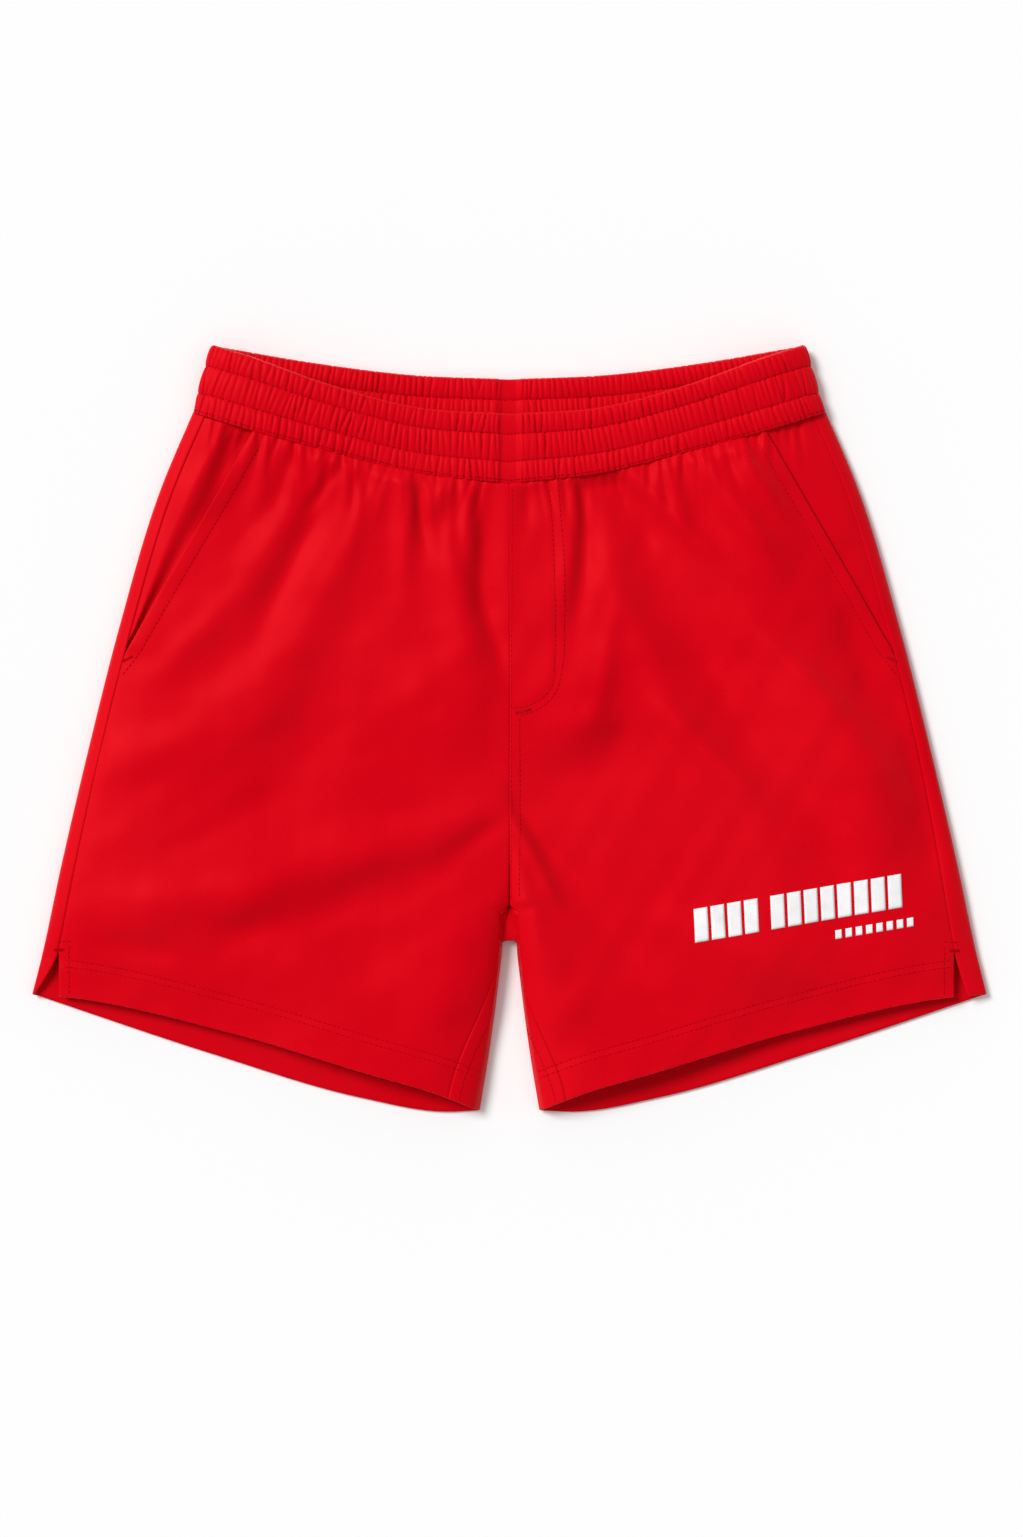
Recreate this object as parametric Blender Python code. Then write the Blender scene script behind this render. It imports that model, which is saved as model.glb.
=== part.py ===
"""Pull-on boxing shorts laid flat on their back, front side up.

Frame: +X to the wearer's left, +Y towards the waist, +Z up; the shorts rest on z = 0 and the origin is
under the middle of their bounding box. Every cloth piece is a closed sheet cut from two smooth covers, the
upper one (front) and the lower one (back), which meet in a rounded fold along the outline of the garment.
The two halves join at the centre seams, x = 0, which is also the line that the shorts fold along.

The left half hangs from the empty fold_line, which lies on the fold's axis. All sizes are in millimetres.
"""

import bpy
import numpy as np
from mathutils.bvhtree import BVHTree

MM = 0.001

# --- Driving dimensions -------------------------------------------------------------------------------
SEAM_GAP = 0.25  # half the clearance between two sewn pieces
CLOTH = 0.8  # shell fabric with its seam allowances
LINING = 0.6  # pocket lining
CASING_WALL = 0.7
CASING_DEPTH = 4.4  # waistband through its thickness, gathers included
ELASTIC_DEPTH = 1.2
ELASTIC_MARGIN = 2.6  # elastic edge to casing edge
BODY_HEIGHT = 20.0  # top of the front panels above the table
WAIST_HEIGHT = 18.0
FOLD_RADIUS = 4.0  # height of the outline's fold, panels
WAIST_FOLD_RADIUS = 7.0
OUTER_DOME = 70.0  # how far in from the side the front has risen to its full height
WAIST_DOME = 45.0
INNER_DOME = 42.0
CROTCH_ROW = 0.34  # share of the leg and hip length, from the hem up, where the legs part
CROTCH_BLEND = 0.14
SIDE_SEAM_TOP, SIDE_SEAM_HEM = 8.0, 12.4  # how far the back wraps round to the front at the side
INSEAM_WRAP = 15.0  # the same at the inner leg, at the hem
INSEAM_ROW = 0.2  # the inseam lies on the outline above this row
POCKET_ROW = 0.585  # row where the slanted pocket mouth meets the side seam
POCKET_TOP_X = 158.0  # where it meets the waistband
FACING_OVERLAP = 25.0  # pocket facing hidden behind the front panel
FACING_DROP = 8.4
FACING_EDGE_DROP = 2.4
BAG_DROP = 2.5
BAG_GAP = 6.3
BAG_CLOSING = 30.0  # below the mouth, the bag closes over this much of its width
BAG_INNER_X = 96.0
BAG_BOTTOM_ROW = 0.36
FLY_WIDTH, FLY_BOTTOM_Y = 34.0, 7.0
FOLD_AXIS_Z = 23.0  # the halves fold about a line above all the cloth
SEWN_LIFT = 0.4  # clearance of what is sewn or printed on top of the cloth
TACK = (12.0, 2.2, 0.7)  # bar tack length, width, height
PRINT_FILM = 0.3
TOUCH = 1.6  # what lies on the cloth clears its highest point within this distance

# Outlines, as (x, y) points with a smooth curve through them, inner end or hem first.
OUTER_SIDE = [(296.0, -163.5), (291.5, -147.3), (278.1, -85.3), (260.7, -10.9), (241.8, 63.6),
              (215.5, 150.4), (196.2, 196.0)]
INNER_FRONT = [(19.5, -236.6), (14.9, -209.3), (8.0, -159.7), (5.2, -128.0), (0.0, -112.0)]
INNER_BACK = [(19.5, -236.6), (14.9, -209.3), (8.0, -159.7), (5.6, -142.0), (0.0, -133.0)]
WAIST_SEAM_FRONT = [(0.0, 151.0), (60.0, 158.3), (110.0, 171.0), (160.0, 184.6), (196.2, 196.0)]
WAIST_SEAM_BACK = [(0.0, 173.0), (60.0, 176.0), (120.0, 184.0), (196.2, 196.0)]
WAIST_TOP_FRONT = [(0.0, 193.8), (55.0, 197.6), (110.0, 212.0), (160.0, 230.0), (182.0, 237.0)]
WAIST_TOP_BACK = [(0.0, 216.0), (60.0, 218.6), (120.0, 226.2), (182.0, 237.0)]
HEM_FRONT = [(19.5, -236.6), (36.5, -229.4), (95.0, -211.5), (175.5, -188.0), (276.0, -165.5),
             (296.0, -163.5)]
HEM_BACK = [(19.5, -236.6), (40.0, -237.1), (93.0, -227.9), (186.0, -200.0), (296.0, -163.5)]


# --- Curves and covers --------------------------------------------------------------------------------
def curve(points, at, by=0):
    """Smooth curve through points: the other coordinate, at these values of coordinate `by`."""
    table = np.array(sorted(points, key=lambda p: p[by]), float)
    k, w = table[:, by], table[:, 1 - by]
    slope = np.gradient(w, k)
    at = np.clip(at, k[0], k[-1])
    i = np.clip(np.searchsorted(k, at) - 1, 0, len(k) - 2)
    span = k[i + 1] - k[i]
    t = (at - k[i]) / span
    return ((2 * t**3 - 3 * t**2 + 1) * w[i] + (t**3 - 2 * t**2 + t) * span * slope[i]
            + (3 * t**2 - 2 * t**3) * w[i + 1] + (t**3 - t**2) * span * slope[i + 1])


def quarter_round(t):
    """0 at an edge, rising like a quarter circle to 1."""
    t = np.clip(t, 0.0, 1.0)
    return np.sqrt(1 - (1 - t) ** 2)


def ease(t):
    t = np.clip(t, 0.0, 1.0)
    return t * t * (3 - 2 * t)


def outer_edge(v):
    """Outline of the side at row v: 0 at the hem, 1 at the waist seam."""
    y = OUTER_SIDE[0][1] + v * (OUTER_SIDE[-1][1] - OUTER_SIDE[0][1])
    return curve(OUTER_SIDE, y, by=1), y


def inner_edge(v, outline, waist_y):
    """Inner leg below the crotch row, centre seam above it."""
    hem_y, crotch_y = outline[0][1], outline[-1][1]
    leg = np.clip(v / CROTCH_ROW, 0, 1)
    rise = np.clip((v - CROTCH_ROW) / (1 - CROTCH_ROW), 0, 1)
    y = np.where(v < CROTCH_ROW, hem_y + leg * (crotch_y - hem_y), crotch_y + rise * (waist_y - crotch_y))
    x = np.where(v < CROTCH_ROW, curve(outline, y, by=1), 0.0)
    return x, y


def cover_y(x, v, front):
    """Height up the garment of the point at x on row v: a Coons patch between hem, seams and waist."""
    hem, waist = (HEM_FRONT, WAIST_SEAM_FRONT) if front else (HEM_BACK, WAIST_SEAM_BACK)
    inner_x, inner_y = inner_edge(v, INNER_FRONT if front else INNER_BACK, waist[0][1])
    outer_x, outer_y = outer_edge(v)
    s = np.clip((x - inner_x) / (outer_x - inner_x), 0, 1)
    hem_y = curve(hem, hem[0][0] + s * (hem[-1][0] - hem[0][0]))
    waist_y = curve(waist, s * waist[-1][0])
    flat = ((1 - v) * ((1 - s) * hem[0][1] + s * hem[-1][1])
            + v * ((1 - s) * waist[0][1] + s * waist[-1][1]))
    return (1 - v) * hem_y + v * waist_y + (1 - s) * inner_y + s * outer_y - flat


def top_z(x, v):
    """The upper cover: a low dome that closes on the outline at the sides and between the legs."""
    inner_x, _ = inner_edge(v, INNER_FRONT, WAIST_SEAM_FRONT[0][1])
    outer_x, _ = outer_edge(v)
    height = BODY_HEIGHT + (WAIST_HEIGHT - BODY_HEIGHT) * ease((v - 0.8) / 0.2)
    side = quarter_round((outer_x - x) / OUTER_DOME)
    open_share = 0.12 + 0.33 * ease(v / CROTCH_ROW) + 0.55 * ease((v - CROTCH_ROW) / CROTCH_BLEND)
    inside = open_share + (1 - open_share) * quarter_round((x - inner_x) / INNER_DOME)
    return FOLD_RADIUS + (height - FOLD_RADIUS) * side * inside


def side_seam(v):
    return outer_edge(v)[0] - (SIDE_SEAM_HEM + (SIDE_SEAM_TOP - SIDE_SEAM_HEM) * v)


def inseam(v):
    inner_x, _ = inner_edge(v, INNER_FRONT, WAIST_SEAM_FRONT[0][1])
    return inner_x + INSEAM_WRAP * (1 - ease(v / INSEAM_ROW))


def pocket_mouth(v):
    """The slanted edge of the front panel, straight from the side seam up to the waistband."""
    t = np.clip((v - POCKET_ROW) / (1 - POCKET_ROW), 0, 1)
    low = side_seam(POCKET_ROW)
    return np.where(v <= POCKET_ROW, side_seam(v), low + t * (POCKET_TOP_X - low))


# --- Building -----------------------------------------------------------------------------------------
def clear_scene():
    for obj in list(bpy.data.objects):
        bpy.data.objects.remove(obj)


def finish_of(name, colour, roughness):
    material = bpy.data.materials.new(name)
    material.use_nodes = True
    shader = material.node_tree.nodes["Principled BSDF"]
    shader.inputs["Base Color"].default_value = (*colour, 1.0)
    shader.inputs["Roughness"].default_value = roughness
    return material


def sheet(name, rows, finish, thickness, closed_rows=False):
    """A closed sheet from a grid of outer-face points; its thickness goes inwards, away from the face."""
    grid = np.array(rows, float) * MM
    count, width = grid.shape[:2]
    index = np.arange(count * width).reshape(count, width)
    faces = [(index[i, j], index[i + 1, j], index[i + 1, (j + 1) % width], index[i, (j + 1) % width])
             for i in range(count - 1) for j in range(width if closed_rows else width - 1)]
    mesh = bpy.data.meshes.new(name)
    mesh.from_pydata(grid.reshape(-1, 3).tolist(), [], [tuple(map(int, f)) for f in faces])
    mesh.materials.append(finish)
    mesh.shade_smooth()
    obj = bpy.data.objects.new(name, mesh)
    bpy.context.scene.collection.objects.link(obj)
    solidify = obj.modifiers.new("thickness", "SOLIDIFY")
    solidify.thickness = thickness * MM
    solidify.offset = -1.0
    return obj


def sided(rows, side):
    """Mirrors a grid made at x > 0 to the wearer's right, keeping its faces pointing out."""
    rows = [[np.array(p, float) for p in row] for row in rows]
    if side > 0:
        return rows
    return [[p * (-1, 1, 1) for p in reversed(row)] for row in rows]


def points_on(x, v, front, z):
    return [np.array([a, b, c]) for a, b, c in zip(x, cover_y(x, v, front), z)]


def front_rows():
    """Front panel: centre seam and inseam to side seam and pocket mouth, hem to waist seam."""
    lip = 1.0  # clearance of the hem and waist ends, in rows of unit length over 360 mm
    ends = lip / 360.0
    rows = []
    for v in np.linspace(0.0, 1.0 - ends, 17):
        start = inseam(v) + SEAM_GAP * 2
        end = pocket_mouth(v) - SEAM_GAP
        t = np.sin(np.linspace(0, np.pi / 2, 14))
        x = start + (end - start) * t
        rows.append(points_on(x, v, True, top_z(x, v)))
    return rows[::-1]


def back_rows():
    """Back panel: centre seam or inseam, down the inner leg, across the table, up the side, to its seam."""
    rows = []
    for v in np.linspace(0.0, 1.0 - 1.0 / 360.0, 17):
        outer_x, _ = outer_edge(v)
        inner_x, _ = inner_edge(v, INNER_BACK, WAIST_SEAM_BACK[0][1])
        if v < CROTCH_ROW:
            front_x, _ = inner_edge(v, INNER_FRONT, WAIST_SEAM_FRONT[0][1])
            wrap = max(inseam(v) - front_x - 2 * SEAM_GAP, 0.0)
            wall = top_z(np.array([front_x]), v)[0] - CLOTH - 2 * SEAM_GAP
            if wrap > 2.0:
                x = np.array([front_x + wrap, front_x + 0.4 * wrap, front_x])
                row = points_on(x, v, True, np.array([*top_z(x[:2], v), top_z(x[2:], v)[0] - 0.5]))
            else:
                x = np.array([front_x + 0.05, front_x, front_x])
                row = points_on(x, v, True, wall * np.array([1.0, 0.8, 0.6]))
            row += points_on(np.array([inner_x, inner_x + 0.9]), v, False, np.array([2.2, 0.5]))
        else:
            x = np.array([SEAM_GAP, 2.5, 5.0, 7.5, 10.0])
            row = points_on(x, v, False, np.zeros(5))
        first = max(inner_x + 3.0, 13.0) if v >= CROTCH_ROW else inner_x + 3.0
        x = np.linspace(first, outer_x - 3.6, 10)
        row += points_on(x, v, False, np.zeros(len(x)))
        x = outer_x - np.array([1.2, 0.0])
        row += points_on(x, v, False, np.array([0.9, FOLD_RADIUS]))
        x = outer_x - (outer_x - side_seam(v) - SEAM_GAP) * np.array([0.2, 0.55, 1.0])
        row += points_on(x, v, True, top_z(x, v))
        rows.append(row)
    return rows


def facing_rows():
    """Pocket facing: from the side seam, sinking to pass behind the pocket mouth."""
    rows = []
    for v in np.linspace(POCKET_ROW, 1.0 - 1.0 / 360.0, 9):
        mouth, end = pocket_mouth(v), side_seam(v) - 2 * SEAM_GAP
        x = np.concatenate([np.linspace(mouth - FACING_OVERLAP, mouth - 1, 4),
                            np.linspace(mouth, end, 4) if end - mouth > 4 else
                            np.linspace(mouth - 0.9, end + 0.3, 4)])
        at_mouth = FACING_EDGE_DROP + (FACING_DROP - 2.4 - FACING_EDGE_DROP) * ease((v - POCKET_ROW) / 0.14)
        hidden = ease((mouth - x) / FACING_OVERLAP)
        shown = ease((x - mouth) / max(end - mouth, 4.0))
        drop = at_mouth + (FACING_DROP - at_mouth) * hidden + (FACING_EDGE_DROP - at_mouth) * shown
        rows.append(points_on(x, v, True, top_z(x, v) - drop))
    return rows[::-1]


def bag_rows(layer):
    """One layer of the pocket bag. The back one turns up along its inner edge to meet the front one."""
    rows = []
    for t in np.linspace(0, 1, 16) ** 1.4:
        v = BAG_BOTTOM_ROW + (1.0 - 1.5 / 360.0 - BAG_BOTTOM_ROW) * t
        above = ease((v - POCKET_ROW) / 0.06)
        inner_x = BAG_INNER_X + 14.0 * (1 - quarter_round((v - BAG_BOTTOM_ROW) / 0.12))
        outer_x = pocket_mouth(v) - FACING_OVERLAP - 1
        if layer == "front":
            x = np.linspace(outer_x + (FACING_OVERLAP - 13) * above, inner_x + 0.6, 10)
            drop = np.full(10, BAG_DROP)
        else:
            x = np.concatenate([np.array([inner_x + 0.3, inner_x, inner_x + 1.2]),
                                np.linspace(inner_x + 5, outer_x, 9)])
            side = above + (1 - above) * quarter_round((outer_x - x) / BAG_CLOSING)
            gap = 0.5 + (BAG_GAP - 0.5) * quarter_round((v - BAG_BOTTOM_ROW) / 0.1) * side
            turn = np.concatenate([np.array([0.0, 0.5, 0.9]), np.ones(9)])
            drop = BAG_DROP + LINING + SEAM_GAP + turn * (gap + LINING - SEAM_GAP)
        rows.append(points_on(x, v, True, top_z(x, v) - drop))
    return rows


def fly_rows():
    """Fly facing: behind the front panel, with a rounded lower corner like the letter J."""
    waist_y, crotch_y = WAIST_SEAM_FRONT[0][1], INNER_FRONT[-1][1]
    low = CROTCH_ROW + (1 - CROTCH_ROW) * (FLY_BOTTOM_Y - crotch_y) / (waist_y - crotch_y)
    rows = []
    for t in np.linspace(0, 1, 9) ** 1.6:
        v = low + (1.0 - 1.5 / 360.0 - low) * t
        width = 8 + (FLY_WIDTH - 8) * quarter_round(t / 0.22)
        x = np.linspace(2 * SEAM_GAP, width, 5)
        rows.append(points_on(x, v, True, top_z(x, v) - CLOTH - 0.9))
    return rows[::-1]


def waist_loop(h, inset, side_points=9):
    """Half of the waistband's loop at height share h, front centre round the side to back centre.

    inset moves the points in from the casing's outer face, square to it."""
    edge_x = WAIST_SEAM_FRONT[-1][0] - 2.0 + h * (WAIST_TOP_FRONT[-1][0] - WAIST_SEAM_FRONT[-1][0] + 2.0)
    turn = np.linspace(0, 1, side_points)
    far = WAIST_DOME * (1 - np.sin(turn * np.pi / 2))
    front_x = np.concatenate([np.linspace(SEAM_GAP, edge_x - WAIST_DOME - 4, 8), edge_x - far])
    near = WAIST_FOLD_RADIUS * (1 - np.cos(turn[1:] * np.pi / 2))
    back_x = np.concatenate([edge_x - near, np.linspace(edge_x - WAIST_FOLD_RADIUS - 4, SEAM_GAP, 9)])
    front_z = WAIST_FOLD_RADIUS + (WAIST_HEIGHT - WAIST_FOLD_RADIUS) * quarter_round(
        (edge_x - front_x) / WAIST_DOME)
    back_z = WAIST_FOLD_RADIUS * (1 - quarter_round((edge_x - back_x) / WAIST_FOLD_RADIUS))
    x, z = np.concatenate([front_x, back_x]), np.concatenate([front_z, back_z])
    run_x, run_z = np.gradient(x), np.gradient(z)
    length = np.hypot(run_x, run_z)
    inner_x, inner_z = x + inset * run_z / length, z - inset * run_x / length
    inner_x[0] = inner_x[-1] = SEAM_GAP
    share = np.concatenate([np.zeros(len(front_x)), np.ones(len(back_x))])
    on_front = (curve(WAIST_SEAM_FRONT, np.minimum(x, 196.2)) * (1 - h)
                + curve(WAIST_TOP_FRONT, np.minimum(x, 182.0)) * h)
    on_back = (curve(WAIST_SEAM_BACK, np.minimum(x, 196.2)) * (1 - h)
               + curve(WAIST_TOP_BACK, np.minimum(x, 182.0)) * h)
    y = on_front * (1 - share) + on_back * share
    return np.stack([inner_x, y, inner_z], axis=1)


def casing_rows():
    """Waistband casing: the ring of its section, carried round the half loop. It is open at both seams."""
    depth = CASING_DEPTH
    ring = [(0.0, 0.5), (0.03, 0.15), (0.08, 0.0), (0.5, 0.0), (0.92, 0.0), (0.97, 0.15), (1.0, 0.5),
            (0.97, 0.85), (0.92, 1.0), (0.5, 1.0), (0.08, 1.0), (0.03, 0.85)]
    loops = [waist_loop(h, share * depth) for h, share in ring]
    return np.stack(loops, axis=1)


def elastic_rows():
    """Half of the elastic: a flat strip in the middle of the casing, from centre front to centre back."""
    margin = ELASTIC_MARGIN / 43.0
    inset = (CASING_DEPTH - ELASTIC_DEPTH) / 2
    rows = []
    for h in np.linspace(margin, 1 - margin, 4):
        rows.append(waist_loop(h, inset))
    return rows[::-1]


def cloth_below(objects):
    """A function that gives the height of the topmost of these pieces at (x, y)."""
    graph = bpy.context.evaluated_depsgraph_get()
    trees = [BVHTree.FromObject(obj, graph) for obj in objects]

    around = [(0, 0), (TOUCH, 0), (-TOUCH, 0), (0, TOUCH), (0, -TOUCH)]

    def height(x, y):
        hits = [tree.ray_cast(((x + i) * MM, (y + j) * MM, 1.0), (0, 0, -1))[0]
                for tree in trees for i, j in around]
        return max(hit.z for hit in hits if hit is not None) / MM
    return height


def patch_rows(height, centre, size, angle, steps, lift):
    """A patch lying on the cloth: size is along and across the direction angle, in degrees."""
    along = np.array([np.cos(np.radians(angle)), np.sin(np.radians(angle))])
    across = np.array([-along[1], along[0]])
    rows = []
    for b in np.linspace(0.5, -0.5, steps[1]):
        row = []
        for a in np.linspace(-0.5, 0.5, steps[0]):
            x, y = np.array(centre) + a * size[0] * along + b * size[1] * across
            row.append(np.array([x, y, height(x, y) + lift]))
        rows.append(row)
    return rows


def hang_left_half():
    """Hangs every piece of the wearer's left half from an empty on the fold's axis."""
    fold_line = bpy.data.objects.new("fold_line", None)
    fold_line.location = (0.0, 0.0, FOLD_AXIS_Z * MM)
    bpy.context.scene.collection.objects.link(fold_line)
    for obj in bpy.context.scene.objects:
        if obj.type == "MESH" and obj.bound_box[6][0] > 0 and not obj.name.endswith("_right"):
            obj.parent = fold_line
            obj.location.z = -FOLD_AXIS_Z * MM


def build():
    clear_scene()
    shell = finish_of("red_satin_weave", (0.62, 0.004, 0.012), 0.42)
    lining = finish_of("red_pocket_lining", (0.55, 0.01, 0.02), 0.7)
    band = finish_of("white_knitted_elastic", (0.8, 0.8, 0.78), 0.8)
    thread = finish_of("red_thread", (0.6, 0.01, 0.015), 0.5)
    film = finish_of("white_print_film", (0.9, 0.9, 0.9), 0.45)

    covers = []
    for word, side in (("left", 1), ("right", -1)):
        covers += [sheet(f"front_panel_{word}", sided(front_rows(), side), shell, CLOTH),
                   sheet(f"back_panel_{word}", sided(back_rows(), side), shell, CLOTH),
                   sheet(f"pocket_facing_{word}", sided(facing_rows(), side), shell, CLOTH)]
        for layer in ("front", "back"):
            sheet(f"pocket_bag_{layer}_{word}", sided(bag_rows(layer), side), lining, LINING)
        sheet(f"waistband_casing_{word}", sided(casing_rows(), side), shell, CASING_WALL, closed_rows=True)
        sheet(f"waist_elastic_{word}", sided(elastic_rows(), side), band, ELASTIC_DEPTH)
    sheet("fly_facing", fly_rows(), shell, LINING)

    height = cloth_below(covers)
    length, width, rise = TACK
    tacks = {"fly_tack": ((8.5, 9.5), 10.0)}
    for word, side in (("left", 1), ("right", -1)):
        tacks[f"pocket_tack_low_{word}"] = ((side * 226.0, 51.0), side * 30.0)
        tacks[f"pocket_tack_top_{word}"] = ((side * 151.5, 176.0), side * -60.0)
        tacks[f"slit_tack_{word}"] = ((side * 270.0, -134.5), side * 5.0)
    for name, (centre, angle) in tacks.items():
        rows = patch_rows(height, centre, (length, width), angle, (7, 3), SEWN_LIFT + rise)
        sheet(name, rows, thread, rise)
    for name, centre, size, steps in (("leg_print", (178.0, -113.5), (132.0, 20.0), (20, 5)),
                                      ("leg_print_line", (224.0, -131.0), (48.0, 6.5), (8, 3))):
        rows = patch_rows(height, centre, size, 9.8, steps, SEWN_LIFT + PRINT_FILM)
        sheet(name, rows, film, PRINT_FILM)
    hang_left_half()


build()
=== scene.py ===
import bmesh
import bpy
import numpy as np
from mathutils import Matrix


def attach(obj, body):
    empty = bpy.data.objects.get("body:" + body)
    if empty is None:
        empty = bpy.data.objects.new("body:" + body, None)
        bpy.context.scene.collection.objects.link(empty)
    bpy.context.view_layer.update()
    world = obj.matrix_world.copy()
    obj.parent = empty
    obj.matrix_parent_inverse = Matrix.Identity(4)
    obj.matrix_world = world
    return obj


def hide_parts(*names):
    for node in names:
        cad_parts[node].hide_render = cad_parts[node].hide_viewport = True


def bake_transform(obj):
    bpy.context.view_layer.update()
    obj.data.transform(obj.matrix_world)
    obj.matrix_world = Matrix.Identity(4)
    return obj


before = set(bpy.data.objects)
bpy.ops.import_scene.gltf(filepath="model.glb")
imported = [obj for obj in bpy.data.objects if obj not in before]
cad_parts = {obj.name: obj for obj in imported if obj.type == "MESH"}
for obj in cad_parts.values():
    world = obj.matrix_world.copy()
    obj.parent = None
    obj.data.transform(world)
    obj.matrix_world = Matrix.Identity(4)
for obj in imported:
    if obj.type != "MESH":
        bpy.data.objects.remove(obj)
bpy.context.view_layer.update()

mm = 0.001

# Lengths below are in millimetres, +x to the wearer's left, +y to the waist, z up from the table.
garment = {
    "outerSide": [(296.0, -165.0), (291.5, -147.3), (278.1, -85.3), (260.7, -10.9), (241.8, 63.6),
                  (215.5, 150.4), (196.2, 196.0)],
    "innerFront": [(19.5, -236.6), (14.9, -209.3), (8.0, -159.7), (5.4, -131.0), (5.3, -117.0), (5.0, -113.4),
                   (0.0, -111.4)],
    "innerBack": [(19.5, -237.4), (14.9, -209.3), (8.0, -159.7), (5.6, -142.0), (5.4, -136.2), (5.2, -133.6),
                  (0.0, -131.6)],
    "waistFront": [(0.0, 151.0), (60.0, 158.3), (110.0, 171.0), (160.0, 184.6), (196.2, 196.0)],
    "waistBack": [(0.0, 173.0), (60.0, 176.0), (120.0, 184.0), (196.2, 196.0)],
    "bandTopFront": [(0.0, 193.8), (55.0, 197.6), (110.0, 212.0), (160.0, 230.0), (182.0, 237.0)],
    "bandTopBack": [(0.0, 216.0), (60.0, 218.6), (120.0, 226.2), (182.0, 237.0)],
    "hemFront": [(19.5, -236.6), (36.5, -229.4), (95.0, -211.5), (175.5, -188.0), (276.0, -166.5),
                 (296.0, -165.0)],
    "hemBack": [(19.5, -237.4), (40.0, -238.2), (93.0, -229.3), (186.0, -201.8), (296.0, -165.0)],
    "crotchRow": 0.34, "pocketRow": 0.585, "pocketTopX": 158.0, "rowLength": 359.5,
    "height": 17.6, "waistHeight": 16.4, "edgeHeight": 4.0, "hemSink": 7.0,
    "outerDome": 70.0, "innerDome": 42.0, "seamTop": 8.0, "seamHem": {1: 14.0, -1: 10.0},
    "inseamWrap": {1: 15.5, -1: 18.5}, "inseamRow": {1: 0.23, -1: 0.28},
    "slitRow": 0.074, "slitOpening": {1: 1.6, -1: 8.6},
}


# smooth curve through points by cubic Hermite pieces: the other coordinate at these values of one
def throughPoints(points, at, by=0):
    table = np.array(sorted(points, key=lambda p: p[by]), float)
    key, value = table[:, by], table[:, 1 - by]
    slope = np.gradient(value, key)
    at = np.clip(at, key[0], key[-1])
    i = np.clip(np.searchsorted(key, at) - 1, 0, len(key) - 2)
    span = key[i + 1] - key[i]
    t = (at - key[i]) / span
    return ((2 * t**3 - 3 * t**2 + 1) * value[i] + (t**3 - 2 * t**2 + t) * span * slope[i]
            + (3 * t**2 - 2 * t**3) * value[i + 1] + (t**3 - t**2) * span * slope[i + 1])


# 3t^2 - 2t^3, held at 0 and 1 outside
def ease(t):
    t = np.clip(t, 0.0, 1.0)
    return t * t * (3 - 2 * t)


# rises from 0 to 1 like a quarter circle
def quarterRound(t):
    t = np.clip(t, 0.0, 1.0)
    return np.sqrt(1 - (1 - t) ** 2)


# outline of the side at row v, 0 at the hem and 1 at the waist seam
def outerEdge(v):
    points = garment["outerSide"]
    y = points[0][1] + v * (points[-1][1] - points[0][1])
    return throughPoints(points, y, by=1), y


# inner edge of a face on row v: the inner leg's curve below the crotch row, the centre seam x = 0 above it
def innerEdge(v, face):
    points, waistY, row = garment["inner" + face], garment["waist" + face][0][1], garment["crotchRow"]
    leg, rise = np.clip(v / row, 0, 1), np.clip((v - row) / (1 - row), 0, 1)
    y = np.where(v < row, points[0][1] + leg * (points[-1][1] - points[0][1]),
                 points[-1][1] + rise * (waistY - points[-1][1]))
    return np.where(v < row, throughPoints(points, y, by=1), 0.0), y


# y at x on row v of a face: the Coons patch between hem, waist seam, inner edge and side
def coverY(x, v, face="Front"):
    hem, waist = garment["hem" + face], garment["waist" + face]
    innerX, innerY = innerEdge(v, face)
    outerX, outerY = outerEdge(v)
    s = np.clip((x - innerX) / (outerX - innerX), 0, 1)
    hemY = throughPoints(hem, hem[0][0] + s * (hem[-1][0] - hem[0][0]))
    waistY = throughPoints(waist, s * waist[-1][0])
    hemLevel = (1 - s) * hem[0][1] + s * hem[-1][1]
    waistLevel = (1 - s) * waist[0][1] + s * waist[-1][1]
    corners = (1 - v) * hemLevel + v * waistLevel
    return (1 - v) * hemY + v * waistY + (1 - s) * innerY + s * outerY - corners


# height of the smooth front: quarter rounds in from the side and from the inner leg, level in between
def domeZ(x, v):
    innerX, _ = innerEdge(v, "Front")
    outerX, _ = outerEdge(v)
    low, row = garment["edgeHeight"], garment["crotchRow"]
    innerX = np.minimum(innerX, np.maximum(row - v, 0) * garment["rowLength"] * 0.33)
    height = garment["height"] + (garment["waistHeight"] - garment["height"]) * ease((v - 0.8) / 0.2)
    height = height - garment["hemSink"] * (1 - ease(v / 0.16)) * ease((x - 70.0) / 110.0)
    side = quarterRound((outerX - x) / garment["outerDome"])
    inside = 0.12 + 0.33 * ease(v / row) + 0.55 * ease((v - row) / 0.14)
    inside = inside + (1 - inside) * quarterRound((x - innerX) / garment["innerDome"])
    return low + (height - low) * side * inside


# row v of the front at (x, y), by halving the interval 40 times
def rowAt(x, y):
    low, high = np.zeros_like(x), np.ones_like(x)
    for _ in range(40):
        middle = (low + high) / 2
        under = coverY(x, middle) < y
        low, high = np.where(under, middle, low), np.where(under, high, middle)
    return (low + high) / 2


# x of the side seam: the outline less a wrap that goes from its hem value to its top value over half the rows
def sideSeamX(v, side):
    hem = garment["seamHem"][side]
    return outerEdge(v)[0] - (hem + (garment["seamTop"] - hem) * ease(v / 0.5))


# edge of the front panel: the side seam, and straight down from the top of the slit
def frontEdgeX(v, side):
    row = garment["slitRow"]
    return np.where(v < row, sideSeamX(np.array(row), side) - 0.3, sideSeamX(v, side))


# x of the inseam: the inner edge plus a wrap that fades out at the inseam row
def inseamX(v, side):
    innerX, _ = innerEdge(v, "Front")
    return innerX + garment["inseamWrap"][side] * (1 - ease(v / garment["inseamRow"][side]))


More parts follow.
